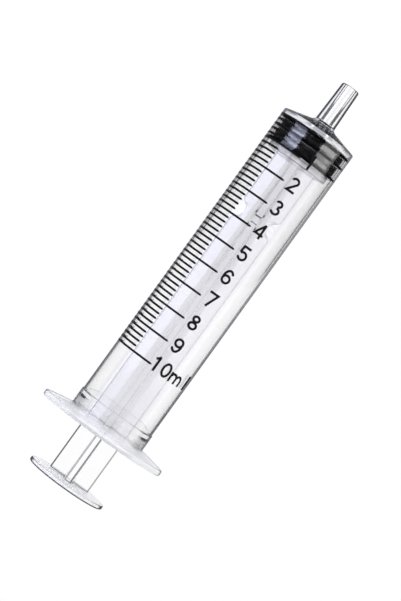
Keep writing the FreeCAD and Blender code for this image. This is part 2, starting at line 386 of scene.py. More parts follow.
def turned_mesh(name, corners):
    """Solid of revolution about the long axis, from pole to pole."""
    rings = [ring(radius, height, ROUND_SEGMENTS) for radius, height in corner_points(corners)]
    return ring_mesh(name, rings, closed=False)


def linked(name, mesh):
    thing = bpy.data.objects.new(name, mesh)
    bpy.context.scene.collection.objects.link(thing)
    return thing


def plain_mesh(thing, name):
    """The evaluated object as a mesh of its own, with the object itself removed."""
    bpy.context.view_layer.update()
    graph = bpy.context.evaluated_depsgraph_get()
    mesh = bpy.data.meshes.new_from_object(thing.evaluated_get(graph))
    mesh.name = name
    bpy.data.objects.remove(thing)
    return mesh


def united(name, first, *others):
    """The union of closed meshes as one plain mesh."""
    thing = linked(name, first)
    extras = [linked(name + "_part", mesh) for mesh in others]
    for extra in extras:
        join = thing.modifiers.new("Join", "BOOLEAN")
        join.operation = "UNION"
        join.solver = "EXACT"
        join.object = extra
    mesh = plain_mesh(thing, name)
    for extra in extras:
        bpy.data.objects.remove(extra)
    return mesh


def piece(name, mesh, material, body, slot, *nodes):
    """Puts a finished mesh on its body, in place of CAD nodes."""
    mesh.materials.clear()
    mesh.materials.append(material)
    thing = linked(name, mesh)
    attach(thing, body)
    if nodes:
        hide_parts(*nodes)


# Materials

class Shader:
    """Small helper that adds and joins the nodes of one tree."""

    def __init__(self, tree):
        self.tree = tree
        tree.nodes.clear()

    def add(self, kind, inputs=None, **values):
        node = self.tree.nodes.new(kind)
        for name, value in values.items():
            setattr(node, name, value)
        for key, value in (inputs or {}).items():
            self.set(node.inputs[key], value)
        return node

    def set(self, socket, value):
        if isinstance(value, bpy.types.NodeSocket):
            self.tree.links.new(value, socket)
        elif isinstance(value, bpy.types.Node):
            self.tree.links.new(value.outputs[0], socket)
        elif hasattr(value, "__len__") and socket.type == "RGBA" and len(value) == 3:
            socket.default_value = (*value, 1.0)
        else:
            socket.default_value = value

    def math(self, operation, *values):
        node = self.add("ShaderNodeMath", operation=operation)
        for socket, value in zip(node.inputs, values):
            self.set(socket, value)
        return node.outputs[0]

    def product(self, first, *others):
        for other in others:
            first = self.math("MULTIPLY", first, other)
        return first

    def largest(self, first, *others):
        for other in others:
            first = self.math("MAXIMUM", first, other)
        return first

    def opposite(self, value):
        """1 less the value."""
        return self.math("SUBTRACT", 1.0, value)

    def span(self, value, low, high, start=0.0, end=1.0):
        """Smooth step of a value from low to high, onto start to end."""
        node = self.add("ShaderNodeMapRange", interpolation_type="SMOOTHSTEP", inputs={
            "Value": value, "From Min": low, "From Max": high, "To Min": start, "To Max": end})
        return node.outputs[0]

    def band(self, value, start, full, fade, end):
        """Smooth window of a value: 0 below start, 1 from full to fade, and 0 above end."""
        return self.product(self.span(value, start, full), self.span(value, end, fade))

    def blend(self, factor, first, second):
        """Colour mix."""
        node = self.add("ShaderNodeMix", data_type="RGBA")
        self.set(node.inputs["Factor"], factor)
        self.set(node.inputs[6], first)
        self.set(node.inputs[7], second)
        return node.outputs[2]

    def finish(self, surface):
        output = self.add("ShaderNodeOutputMaterial")
        self.tree.links.new(surface.outputs[0], output.inputs["Surface"])


def new_material(name):
    material = bpy.data.materials.new(name)
    material.use_nodes = True
    return material, Shader(material.node_tree)


# what a material reads where it is: Object coordinates as place, x, y and z, the distance from the long
# axis as reach, and facing, from 0 face on to 1 edge on; turned is facing measured level round the axis
Spot =namedtuple("Spot", "place x y z reach facing turned", defaults=(None, None))


def object_place(shader):
    return shader.add("ShaderNodeTexCoord").outputs["Object"]


def spot_of(shader):
    place = object_place(shader)
    parts = shader.add("ShaderNodeSeparateXYZ", {"Vector": place}).outputs
    x, y, z = parts["X"], parts["Y"], parts["Z"]
    reach = shader.math("SQRT", shader.math("ADD", shader.product(x, x), shader.product(y, y)))
    return Spot(place, x, y, z, reach)


def level_facing(shader, facing):
    """Facing measured level round the long axis, so that looking down along it makes no lines."""
    axis = shader.add("ShaderNodeVectorTransform", {"Vector": (0.0, 0.0, 1.0)}, vector_type="NORMAL",
                      convert_from="OBJECT", convert_to="WORLD")
    steep = shader.opposite(shader.add(
        "ShaderNodeLayerWeight", {"Blend": 0.5, "Normal": axis}).outputs["Facing"])
    level = shader.math("SQRT", shader.opposite(shader.product(steep, steep)))
    return shader.opposite(shader.math(
        "DIVIDE", shader.opposite(facing), shader.math("MAXIMUM", level, 0.2)))


def clear_plastic(name, s, tint, haze, lines, milky):
    """Clear moulded plastic with painted shade, dark lines where it is seen edge on, and a milky cloud,
    where functions of the spot put them.
    """
    material, shader = new_material(name)
    facing = shader.add("ShaderNodeLayerWeight", {"Blend": 0.5}).outputs["Facing"]
    spot = spot_of(shader)._replace(facing=facing, turned=level_facing(shader, facing))

    def here(value):
        return value(shader, spot, s) if callable(value) else value

    flow = shader.add("ShaderNodeMapping", {"Vector": spot.place, "Scale": (1.0, 1.0, 0.12)})
    ripple = shader.add("ShaderNodeTexNoise", {"Vector": flow, "Scale": 220.0, "Detail": 1.0})
    rough = shader.product(here(haze), shader.span(ripple.outputs["Fac"], 0.3, 0.7, 0.8, 1.2))
    clear = shader.add("ShaderNodeBsdfPrincipled", {
        "Base Color": here(tint), "Roughness": rough, "IOR": s.ior, "Transmission Weight": 1.0})
    milk = shader.add("ShaderNodeMixShader", {
        0: 0.5, 1: shader.add("ShaderNodeBsdfDiffuse", {"Color": s.cloud}),
        2: shader.add("ShaderNodeBsdfTranslucent", {"Color": s.cloud})})
    # painted shade: a dark matte shader laid over the clear plastic where the lines function puts it
    dark = shader.add("ShaderNodeBsdfDiffuse", {"Color": s.edge_tint})
    surface = shader.add("ShaderNodeMixShader", {0: here(milky), 1: clear, 2: milk})
    shader.finish(shader.add("ShaderNodeMixShader", {0: here(lines), 1: surface, 2: dark}))
    return material


def black_rubber(tint, bore):
    """Oiled rubber, smeared level with its turning; it loses its gloss where it touches the bore."""
    material, shader = new_material("oiled_black_rubber")
    spot = spot_of(shader)
    level = shader.add("ShaderNodeMapping", {"Vector": spot.place, "Scale": (0.15, 0.15, 1.0)})
    smear = shader.add("ShaderNodeTexNoise", {
        "Vector": level, "Scale": 1700.0, "Detail": 2.0}).outputs["Fac"]
    touch = shader.span(spot.reach, bore - 0.05 * MM, bore - 0.01 * MM)
    gloss = shader.product(shader.span(smear, 0.42, 0.6, 0.03, 0.5), shader.opposite(touch))
    bump = shader.add("ShaderNodeBump", {"Strength": 0.15, "Distance": 0.02 * MM, "Height": smear})
    shader.finish(shader.add("ShaderNodeBsdfPrincipled", {
        "Base Color": tint, "Roughness": 0.15, "IOR": 2.6, "Specular IOR Level": gloss,
        "Normal": bump.outputs["Normal"]}))
    return material


def printing_ink(tint):
    """Dull black ink, made once for the lines and the figures."""
    made = bpy.data.materials.get("black_printing_ink")
    if made:
        return made
    material, shader = new_material("black_printing_ink")
    film = shader.add("ShaderNodeTexNoise", {
        "Vector": object_place(shader), "Scale": 2500.0, "Detail": 2.0})
    rough = shader.span(film.outputs["Fac"], 0.3, 0.7, 0.45, 0.6)
    shader.finish(shader.add("ShaderNodeBsdfPrincipled", {
        "Base Color": tint, "Roughness": rough, "IOR": 1.5, "Specular IOR Level": 0.1}))
    return material


# Barrel

def barrel_mesh(s):
    """Barrel turned from its outline, with the flange's rim squeezed to an oval as it is turned."""
    collar = s.collar_radius
    mouth, bead = s.bore + s.mouth_relief, s.bore - s.bead
    bead_z = s.collar_z - s.bead_height
    # the flange's rim, in radii along its length
    rim = corner_points([
        (mouth, s.underside),
        (s.flange_long, s.underside, s.edge),
        (s.flange_long, s.underside + s.rim, s.edge),
        (s.bore, s.underside + s.root),
    ])[1:-1]
    rest = corner_points([
        (collar, s.underside + s.root),
        (collar, s.collar_z, s.collar_step / 4),
        (s.radius, s.collar_z, s.collar_step / 4),
        (s.radius, s.shoulder_z, s.shoulder_edge),
        (s.nozzle_base, s.root_z, s.nozzle_root),
        (s.nozzle_tip, s.tip, s.nozzle_edge),
        (s.channel, s.tip, INNER_EDGE),
        (s.channel, s.funnel_z, 3 * INNER_EDGE),
        (s.funnel, s.inner_cone(s.funnel), INNER_EDGE),
        (s.bore, s.inner_cone(s.bore), 1.5 * INNER_EDGE),
        (s.bore, s.collar_z, INNER_EDGE),
        (bead, s.collar_z - s.bead, INNER_EDGE),
        (bead, bead_z, 2 * INNER_EDGE),
        (mouth, bead_z - s.mouth_slope, 3 * INNER_EDGE),
        (mouth, s.underside + s.mouth_chamfer),
        (mouth + s.mouth_chamfer, s.underside),
    ])[1:]
    fall = (s.root - s.rim) / (s.flange_long - collar)
    turn = 2 * math.pi / BARREL_SEGMENTS
    stretch = [math.hypot(math.cos(turn * k), s.flange_long / s.flange_short * math.sin(turn * k))
               for k in range(BARREL_SEGMENTS)]

    def around(place):
        """Ring whose radius and height at each turn follow from the oval's stretch there."""
        points = []
        for k in range(BARREL_SEGMENTS):
            radius, height = place(stretch[k])
            points.append((radius * math.cos(turn * k), radius * math.sin(turn * k), height))
        return points

    def flange_top(radius, squeeze):
        return s.underside + s.rim + fall * (s.flange_long - radius * squeeze)

    rings = [around(lambda e, p=p: (p[0] / e, p[1])) for p in rim]
    for step in range(BEND_STEPS + 1):
        way = math.pi / 2 * step / BEND_STEPS
        reach = collar + s.fillet * (1 - math.sin(way))
        lift = s.fillet * (1 - math.cos(way))
        rings.append(around(lambda e, r=reach, up=lift: (r, flange_top(collar + s.fillet, e) + up)))
    rings += [ring(radius, height, BARREL_SEGMENTS) for radius, height in rest]
    return ring_mesh("barrel_body", rings, closed=True, sharp=CLEAR_SHARP)


def barrel_wall_lines(shader, spot, s):
    """Painted shade: a dark line at the barrel's outline, short ones at its corners, and a broad dark patch
    on the collar's sides.
    """
    wall = shader.band(spot.reach, s.radius - 0.4 * MM, s.radius - 0.2 * MM,
                       s.collar_radius + 0.05 * MM, s.collar_radius + 0.15 * MM)
    line = shader.product(shader.span(spot.turned, s.edge_from, s.edge_to), s.edge_share)
    collar = shader.band(spot.z, s.underside + 1.6 * MM, s.underside + 2.4 * MM,
                         s.collar_z - 1.1 * MM, s.collar_z - 0.9 * MM)
    shade = shader.product(shader.span(spot.turned, 0.2, 0.5), collar, s.collar_share)
    corners = [shader.band(spot.z, corner - deep, corner - deep + 0.1 * MM, corner, corner + 0.1 * MM)
               for corner, deep in ((s.collar_z, 0.3 * MM), (s.shoulder_z, 0.5 * MM))]
    short = shader.product(shader.span(spot.turned, 0.2, 0.4), shader.math("ADD", *corners), s.edge_share)
    return shader.product(wall, shader.largest(line, short, shade))


def nozzle_lines(shader, spot, s):
    """Painted shade lines at the nozzle's outline, along its channel, round the funnel and on the
    shoulder's cone.
    """
    above = shader.span(spot.z, s.root_z, s.root_z + 0.6 * MM)
    skin = shader.product(shader.span(spot.reach, 1.5 * MM, 1.7 * MM), shader.span(spot.turned, 0.32, 0.48))
    core = shader.product(shader.span(spot.reach, 1.2 * MM, 1.1 * MM), shader.span(spot.turned, 0.3, 0.6))
    funnel = shader.product(
        shader.span(spot.reach, s.funnel + 0.2 * MM, s.funnel + 0.1 * MM),
        shader.band(spot.z, s.funnel_z - 0.5 * MM, s.funnel_z - 0.4 * MM,
                    s.funnel_z, s.funnel_z + 0.1 * MM))
    cone = shader.product(shader.span(spot.facing, 0.88, 0.95), shader.span(spot.reach, 2.2 * MM, 2.6 * MM),
                          shader.span(spot.z, s.shoulder_z, s.shoulder_z + 0.1 * MM))
    lines = shader.largest(shader.product(above, shader.largest(skin, core)), funnel, cone)
    return shader.product(lines, s.nozzle_share)


def flange_lines(shader, spot, s):
    """Painted shade: thin dark lines round the flange's rim and on its slope."""
    shares = [shader.math("POWER", shader.math("DIVIDE", value, half), 2.0)
              for value, half in ((spot.x, s.flange_long), (spot.y, s.flange_short))]
    oval = shader.math("SQRT", shader.math("ADD", *shares))
    rim = shader.product(shader.span(oval, 0.965, 0.98), shader.span(spot.facing, 0.6, 0.85))
    slope = shader.product(
        shader.span(spot.reach, s.collar_radius + 0.15 * MM, s.collar_radius + 0.3 * MM),
        shader.span(spot.facing, 0.88, 0.96))
    return shader.product(shader.largest(rim, slope), s.rim_share)


# the barrel's painted shade: its outline, nozzle and flange lines together
def barrel_lines(shader, spot, s):
    return shader.largest(barrel_wall_lines(shader, spot, s), nozzle_lines(shader, spot, s),
                          flange_lines(shader, spot, s))


def barrel_tint(shader, spot, s):
    """The barrel is clearer beside the rod's wings and darker over them, painted shade for the rod behind
    it; the thin nozzle is the clearest.
    """
    # painted shade: darker tint over the middle band in front of the rod's wings
    side = shader.span(shader.math("ABSOLUTE", spot.x), 5.2 * MM, 5.8 * MM)
    return shader.blend(shader.span(spot.z, s.root_z - 0.2 * MM, s.root_z + 0.4 * MM),
                        shader.blend(side, s.tint, s.side_tint), s.nozzle_tint)


def barrel_cloud(shader, spot, s):
    """Milky in the flange and less so up the collar; a milky white in the solid end in front of the gasket
    is a painted highlight for the bright band of light there.
    """
    flange = shader.product(
        shader.span(spot.reach, s.radius - 0.5 * MM, s.radius + 0.8 * MM),
        shader.span(spot.z, s.underside + 3.2 * MM, s.underside + 1.8 * MM), s.cloud_share)
    collar = shader.product(
        shader.span(spot.z, s.collar_z + 0.1 * MM, s.collar_z - 0.3 * MM), s.collar_cloud)
    # painted highlight: milky white lit by the lamps in the clear end wall below the shoulder, standing in
    # for the bright band of light there
    inner_z = s.shoulder_z - s.end_wall
    end = shader.product(
        shader.span(spot.reach, s.radius - 0.4 * MM, s.radius - 0.2 * MM),
        shader.band(spot.z, inner_z + 0.3 * MM, inner_z + 0.5 * MM,
                    s.shoulder_z - 0.15 * MM, s.shoulder_z - 0.02 * MM), s.end_cloud)
    return shader.largest(flange, collar, end)


class SYRINGE_OT_barrel(bpy.types.Operator):
    """Barrel with its oval flange, collar, shoulder and slip nozzle"""
    bl_idname = "syringe.barrel"
    bl_label = "Barrel"

    def execute(self, context):
        s = context.scene.syringe_barrel
        plastic = clear_plastic("clear_barrel_plastic", s, barrel_tint, s.haze, barrel_lines, barrel_cloud)
        piece("barrel_body", barrel_mesh(s), plastic, "barrel", "barrel_plastic", "barrel")
        return {"FINISHED"}


# Printed scale

def line_tree(s, barrel_radius):
    """Geometry Nodes tree for the printed lines: arcs round the barrel, long at each millilitre."""
    tree = bpy.data.node_groups.new("printed_lines", "GeometryNodeTree")
    tree.is_modifier = True
    sockets = tree.interface
    sockets.new_socket("Geometry", in_out="OUTPUT", socket_type="NodeSocketGeometry")
    wanted = {
        "Radius": ("NodeSocketFloat", barrel_radius + (s.ink - s.bite) / 2),
        "Film": ("NodeSocketFloat", s.ink + s.bite),
        "Thickness": ("NodeSocketFloat", s.thickness),
        "Start": ("NodeSocketFloat", s.start - math.pi / 2),
        "Short Sweep": ("NodeSocketFloat", s.short_end - s.start),
        "Long Sweep": ("NodeSocketFloat", s.long_end - s.start),
        "First Height": ("NodeSocketFloat", s.zero),
        "Pitch": ("NodeSocketFloat", (s.zero - s.last) / (s.millilitres * s.lines_per_ml)),
        "Count": ("NodeSocketInt", s.millilitres * s.lines_per_ml + 1),
        "Lines Per Long": ("NodeSocketInt", s.lines_per_ml),
        "Ink": ("NodeSocketMaterial", printing_ink(s.ink_colour)),
    }
    for name, (kind, _value) in wanted.items():
        sockets.new_socket(name, in_out="INPUT", socket_type=kind)
    shader = Shader(tree)
    given = shader.add("NodeGroupInput").outputs
    result = shader.add("NodeGroupOutput")
    profile = shader.add("GeometryNodeCurvePrimitiveQuadrilateral", {
        "Width": given["Film"], "Height": given["Thickness"]})

    def arc(sweep):
        curve = shader.add("GeometryNodeCurveArc", {
            "Resolution": 48, "Radius": given["Radius"], "Start Angle": given["Start"],
            "Sweep Angle": sweep})
        upright = shader.add("GeometryNodeSetCurveNormal", {"Curve": curve}, mode="Z_UP")
        # the ends are rounded, as printed ends are, but for a last bit that keeps them from a point
        along = shader.add("GeometryNodeSplineParameter").outputs["Length"]
        rest = shader.math("SUBTRACT", shader.product(given["Radius"], sweep), along)
        end_gap = shader.math("MINIMUM", along, rest)
        half = shader.product(given["Thickness"], 0.5)
        inset = shader.opposite(shader.math("MINIMUM", 1.0, shader.math("DIVIDE", end_gap, half)))
        blunt = 0.04
        swell = shader.math("SQRT", shader.math("SUBTRACT", 1.0 + blunt, shader.product(inset, inset)))
        return shader.add("GeometryNodeCurveToMesh", {
            "Curve": upright, "Profile Curve": profile, "Fill Caps": True, "Scale": swell})

    points = shader.add("GeometryNodeMeshLine", {
        "Count": given["Count"],
        "Start Location": shader.add("ShaderNodeCombineXYZ", {"Z": given["First Height"]}),
        "Offset": shader.add("ShaderNodeCombineXYZ", {"Z": shader.product(given["Pitch"], -1.0)})})
    step = shader.math("MODULO", shader.add("GeometryNodeInputIndex").outputs[0], given["Lines Per Long"])
    parts = shader.add("GeometryNodeJoinGeometry")
    for test, sweep in (("GREATER_THAN", given["Short Sweep"]), ("LESS_THAN", given["Long Sweep"])):
        lines = shader.add("GeometryNodeInstanceOnPoints", {
            "Points": points.outputs["Mesh"], "Selection": shader.math(test, step, 0.5),
            "Instance": arc(sweep)})
        tree.links.new(lines.outputs[0], parts.inputs[0])
    real = shader.add("GeometryNodeRealizeInstances", {"Geometry": parts})
    inked = shader.add("GeometryNodeSetMaterial", {"Geometry": real, "Material": given["Ink"]})
    tree.links.new(inked.outputs[0], result.inputs[0])
    return tree, {name: value for name, (_kind, value) in wanted.items()}


class SYRINGE_OT_scale_lines(bpy.types.Operator):
    """Printed lines of the scale, long at each whole millilitre"""
    bl_idname = "syringe.scale_lines"
    bl_label = "Scale Lines"

    def execute(self, context):
        s = context.scene.syringe_scale
        tree, values = line_tree(s, context.scene.syringe_barrel.radius)
        holder = linked("scale_lines_maker", bpy.data.meshes.new("scale_lines_maker"))
        modifier = holder.modifiers.new("Printed Lines", "NODES")
        modifier.node_group = tree
        for item in tree.interface.items_tree:
            if item.in_out == "INPUT":
                modifier[item.identifier] = values[item.name]
        mesh = plain_mesh(holder, "scale_lines")
        if len(mesh.polygons) == 0:
            raise RuntimeError("the printed lines came out empty")
        tidy_mesh(mesh)
        piece("scale_lines", mesh, printing_ink(s.ink_colour), "barrel", "black_ink", "scale_marks")
        return {"FINISHED"}


# strokes of each sign, in shares of a figure's width from its middle and of its height from its foot:
# a bow is an arc of an oval (middle x, middle y, radius x, radius y, from, to), a bar goes through points
SIGNS = {
    "0": [("bow", 0, 0.5, 0.5, 0.5, 0, 360)],
    "1": [("bar", (-0.2, 0.76), (0.05, 0.86), (0.18, 1.0)), ("bar", (0.15, 0), (0.15, 1.0))],
    "2": [("bow", 0, 0.72, 0.47, 0.28, 170, -30), ("bar", (0.33, 0.64), (-0.38, 0.07), (0.5, 0.07))],
    "3": [("bow", -0.02, 0.75, 0.44, 0.25, 160, -90), ("bow", -0.02, 0.28, 0.5, 0.28, 90, -165)],
    "4": [("bar", (0.5, 0.27), (-0.42, 0.27), (0.2, 0.96)), ("bar", (0.22, 0), (0.22, 1.0))],
    "5": [("bar", (0.42, 0.94), (-0.33, 0.94), (-0.4, 0.5)), ("bow", -0.03, 0.33, 0.51, 0.33, 145, -160)],
    "6": [("bow", 0, 0.32, 0.5, 0.32, 0, 360), ("bow", 0.04, 0.5, 0.54, 0.5, 190, 32)],
    "7": [("bar", (-0.5, 0.94), (0.43, 0.94), (-0.15, 0))],
    "8": [("bow", 0, 0.75, 0.43, 0.25, 0, 360), ("bow", 0, 0.28, 0.5, 0.28, 0, 360)],
    "9": [("bow", 0, 0.68, 0.5, 0.32, 0, 360), ("bow", -0.04, 0.5, 0.54, 0.5, 10, -148)],
    "m": [("bar", (-0.68, 0), (-0.68, 0.68)), ("bar", (0, 0), (0, 0.45)), ("bar", (0.68, 0), (0.68, 0.45)),
          ("bow", -0.34, 0.42, 0.4, 0.26, 180, 0), ("bow", 0.34, 0.42, 0.4, 0.26, 180, 0)],
    "l": [("bar", (-0.08, 0), (-0.08, 1.0)), ("bar", (0.08, 0), (0.08, 1.0))],
}
# middles of the last line's signs, right of the front
LAST_SIGNS = (("1", 0.5 * MM), ("0", 3.15 * MM), ("m", 6.1 * MM), ("l", 9.9 * MM))
BOW_STEPS = 40
WRAP_STEP = 0.25 * MM           # between the cuts that let a flat figure bend round the barrel


def sign_path(kind, values, half, aspect):
    """Centre line of a stroke, in shares of the figure, and whether it closes."""
    if kind == "bar":
        return [Vector(value) for value in values], False
    x, y, wide, tall, start, end = values
    wide, tall = wide - half * aspect, tall - half
    closed = abs(end - start) == 360
    count = BOW_STEPS if closed else BOW_STEPS + 1
    turns = [math.radians(start + (end - start) * k / BOW_STEPS) for k in range(count)]
    return [Vector((x + wide * math.cos(turn), y + tall * math.sin(turn))) for turn in turns], closed


def stroke_mesh(path, closed, half, tall, wide):
    """Flat ribbon along a path, one unit deep, as wide as the stroke."""
    spots = [Vector((spot.x * wide, spot.y * tall)) for spot in path]
    reach = half * tall
    count = len(spots)
    sides = ([], [])
    for k, spot in enumerate(spots):
        ways = []
        if closed or k > 0:
            ways.append((spot - spots[k - 1]).normalized())
        if closed or k < count - 1:
            ways.append((spots[(k + 1) % count] - spot).normalized())
        along = sum(ways, Vector((0, 0))).normalized()
        out = Vector((-along.y, along.x)) * (reach / max(0.4, along.dot(ways[0])))
        sides[0].append(spot + out)
        sides[1].append(spot - out)
    places = [(p.x, depth, p.y) for depth in (0.0, 1.0) for side in sides for p in side]
    # the ribbon's four long edges run through the points in this order
    front_left, front_right, back_left, back_right = (count * edge for edge in range(4))
    faces = []
    for k in range(count if closed else count - 1):
        n = (k + 1) % count
        faces += [(front_left + k, front_left + n, front_right + n, front_right + k),
                  (back_left + k, back_right + k, back_right + n, back_left + n),
                  (front_left + k, back_left + k, back_left + n, front_left + n),
                  (front_right + k, front_right + n, back_right + n, back_right + k)]
    if not closed:
        faces += [(front_left + k, front_right + k, back_right + k, back_left + k)
                  for k in (0, count - 1)]
    return new_mesh("stroke", places, faces)


def print_sign(work, s, sign, middle, height):
    """Adds one sign to the flat print: x runs round the barrel, y is depth and z is height."""
    tall, wide = s.figure_height, s.figure_width
    half = s.stroke / 2
    strokes = [stroke_mesh(*sign_path(kind, values, half, tall / wide), half, tall, wide)
               for kind, *values in SIGNS[sign]]
    mesh = united("sign", *strokes)
    mesh.transform(Matrix.Translation((middle, -s.bite, height - tall / 2))
                   @ Matrix.Diagonal((1.0, s.ink + s.bite, 1.0, 1.0)))
    work.from_mesh(mesh)
    bpy.data.meshes.remove(mesh)


class SYRINGE_OT_scale_figures(bpy.types.Operator):
    """Printed figures of the scale and its unit"""
    bl_idname = "syringe.scale_figures"
    bl_label = "Scale Figures"

    def execute(self, context):
        s = context.scene.syringe_scale
        radius = context.scene.syringe_barrel.radius
        pitch = (s.zero - s.last) / s.millilitres
        work = bmesh.new()
        for millilitre in range(1, s.millilitres):
            height = s.zero - pitch * millilitre + s.figure_rise
            print_sign(work, s, str(millilitre), s.figure_place, height)
        for sign, place in LAST_SIGNS:
            print_sign(work, s, sign, place, s.last + s.last_rise)
        reach = max(vertex.co.x for vertex in work.verts)
        for step in range(1, int(reach / WRAP_STEP) + 1):
            every = work.verts[:] + work.edges[:] + work.faces[:]
            bmesh.ops.bisect_plane(work, geom=every, dist=WELD,
                                   plane_co=(step * WRAP_STEP, 0, 0), plane_no=(1, 0, 0))
        for vertex in work.verts:
            out = radius + vertex.co.y
            turn = vertex.co.x / radius
            vertex.co = (out * math.sin(turn), -out * math.cos(turn), vertex.co.z)
        mesh = bpy.data.meshes.new("scale_figures")
        work.to_mesh(mesh)
        work.free()
        tidy_mesh(mesh)
        piece("scale_figures", mesh, printing_ink(s.ink_colour), "barrel", "black_ink")
        return {"FINISHED"}


# Gasket

class SYRINGE_OT_gasket(bpy.types.Operator):
    """Black rubber gasket with three sealing ribs and a coned nose"""
    bl_idname = "syringe.gasket"
    bl_label = "Gasket"

    def execute(self, context):
        s = context.scene.syringe_gasket
        rod = context.scene.syringe_rod
        bore = context.scene.syringe_barrel.bore
        rib = bore + s.squeeze
        groove = bore - s.groove
        front = s.rear + s.side
        middle = front - s.middle_drop
        mesh = turned_mesh("gasket_rubber", [
            *reversed(rod.head_corners(rod.head_gap)),
            (rod.neck + rod.head_gap, s.rear),
            (rib, s.rear, s.end_edge),
            (rib, s.rear + s.rear_rib, s.rib_edge),
            (groove, s.rear + s.rear_rib + s.rear_slope, s.rib_edge),
            (groove, middle - s.middle_rib - s.rib_slope, s.rib_edge),
            (rib, middle - s.middle_rib, s.rib_edge),
            (rib, middle, s.rib_edge),
            (groove, middle + s.rib_slope, s.rib_edge),
            (groove, front - s.front_rib - s.rib_slope, s.rib_edge),
            (rib, front - s.front_rib, s.rib_edge),
            (rib, front, s.end_edge),
            (s.nose_flat, s.nose, s.nose_edge),
            (0, s.nose),
        ])
        piece("gasket_rubber", mesh, black_rubber(s.tint, bore), "gasket", "black_rubber", "gasket")
        return {"FINISHED"}


# Plunger rod

def wing_ring(s, half_span, height, steps=4):
    """Level outline of the four wings, with rounded edges and hollow roots."""
    half_wing = s.wing / 2
    arcs = [
        (half_span - s.wing_edge, -(half_wing - s.wing_edge), s.wing_edge, -90, 0),
        (half_span - s.wing_edge, half_wing - s.wing_edge, s.wing_edge, 0, 90),
        (half_wing + s.wing_root, half_wing + s.wing_root, s.wing_root, 270, 180),
    ]
    points = []
    for quarter in range(4):
        for x, y, radius, start, end in arcs:
            for step in range(steps + 1):
                way = math.radians(start + (end - start) * step / steps)
                spot = Vector((x + radius * math.cos(way), y + radius * math.sin(way), height))
                spot.rotate(Matrix.Rotation(math.pi / 2 * quarter, 3, "Z"))
                points.append(tuple(spot))
    return points


def wings_mesh(s):
    """Four wings with their waist, closed by a pole at both ends."""
    wide, narrow = s.span / 2, s.waist_span / 2
    side = corner_points([
        (wide, s.rest_rim),
        (wide, s.waist_z - s.waist_height / 2, s.waist_bend),
        (narrow, s.waist_z - s.waist_floor / 2, s.waist_bend),
        (narrow, s.waist_z + s.waist_floor / 2, s.waist_bend),
        (wide, s.waist_z + s.waist_height / 2, s.waist_bend),
        (wide, s.disc_low + s.wing_bite),
    ])
    rings = [wing_ring(s, half_span, height) for half_span, height in side]
    poles = [[(0, 0, height)] for _half_span, height in (side[0], side[-1])]
    return ring_mesh("wings", [poles[0], *rings, poles[1]], closed=False)


def thumb_rest_mesh(s):
    return turned_mesh("rest", [
        (0, 0),
        (s.rest_radius, 0, s.rest_edge),
        (s.rest_radius, s.rest_rim, s.rest_edge),
        (s.wing, s.crown_z, s.rest_bend),
        (0, s.crown_z),
    ])


def disc_and_head_mesh(s):
    return turned_mesh("top", [
        (0, s.disc_low),
        (s.disc_radius, s.disc_low, s.disc_edge),
        (s.disc_radius, s.disc_top, s.disc_edge),
        (s.neck, s.disc_top),
        *s.head_corners(),
    ])


def rod_lines(shader, spot, s):
    """Painted shade: thin dark lines along the wings' long edges, round the thumb rest's rim and at the
    wings' feet.
    """
    across, deep = shader.math("ABSOLUTE", spot.x), shader.math("ABSOLUTE", spot.y)
    wide, narrow = shader.math("MAXIMUM", across, deep), shader.math("MINIMUM", across, deep)
    edge = shader.product(shader.span(wide, s.span / 2 - 0.36 * MM, s.span / 2 - 0.24 * MM),
                          shader.span(narrow, s.wing / 2 - 0.36 * MM, s.wing / 2 - 0.24 * MM))
    side = shader.math("GREATER_THAN", across, s.wing)
    # inside the barrel the side wings' painted shade lines show faintly and the near wing's hardly at all
    faint = shader.math("MULTIPLY_ADD", side, s.side_lines, s.near_lines)
    level = shader.product(
        shader.span(spot.z, s.crown_z, s.crown_z + 0.2 * MM),
        shader.largest(shader.span(spot.z, s.lines_full, s.lines_faint, 1.0, 0.0), faint))
    # the near wing's left line and the right wing's line get the fainter painted shade
    right = shader.math("GREATER_THAN", spot.x, 0.0)
    strong = shader.math("ABSOLUTE", shader.math("SUBTRACT", side, right))
    edge = shader.product(edge, shader.math("MULTIPLY_ADD", strong, 0.4, 0.6), level)
    rim = shader.product(
        shader.largest(shader.span(spot.z, 0.4 * MM, 0.2 * MM), shader.span(spot.facing, 0.55, 0.7)),
        shader.span(spot.reach, s.rest_radius - 0.3 * MM, s.rest_radius - 0.2 * MM), 1.2)
    foot = shader.product(
        shader.band(spot.z, s.crown_z - 0.1 * MM, s.crown_z, s.crown_z + 0.1 * MM, s.crown_z + 0.25 * MM),
        shader.span(narrow, 0.5 * MM, 0.6 * MM), 0.6)
    return shader.product(shader.largest(edge, rim, foot), s.edge_share)


def rod_cloud(shader, spot, s):
    """Milky in the thumb rest, a little in the support disc, and in the side wings' flanks at the waist."""
    ends = shader.math(
        "ADD", shader.span(spot.z, s.crown_z + 0.1 * MM, s.crown_z - 0.1 * MM),
        shader.span(spot.z, s.disc_low - 0.1 * MM, s.disc_low + 0.1 * MM, 0.0, s.disc_cloud))
    normal = shader.add("ShaderNodeTexCoord").outputs["Normal"]
    lean = shader.math("ABSOLUTE", shader.add("ShaderNodeSeparateXYZ", {"Vector": normal}).outputs["Z"])
    half = s.waist_height / 2 + 0.5 * MM
    flank = shader.product(
        shader.span(shader.math("ABSOLUTE", spot.x), 1.6 * MM, 2.2 * MM), shader.span(lean, 0.05, 0.2),
        shader.band(spot.z, s.waist_z - half, s.waist_z - half + 0.1 * MM,
                    s.waist_z + half - 0.1 * MM, s.waist_z + half))
    return shader.largest(shader.product(ends, s.cloud_share), shader.product(flank, s.flank_share))


def rod_haze(shader, spot, s):
    """The part that stands out of the barrel is the clearer one."""
    return shader.span(spot.z, s.lines_faint, s.haze_full, s.haze, s.inner_haze)


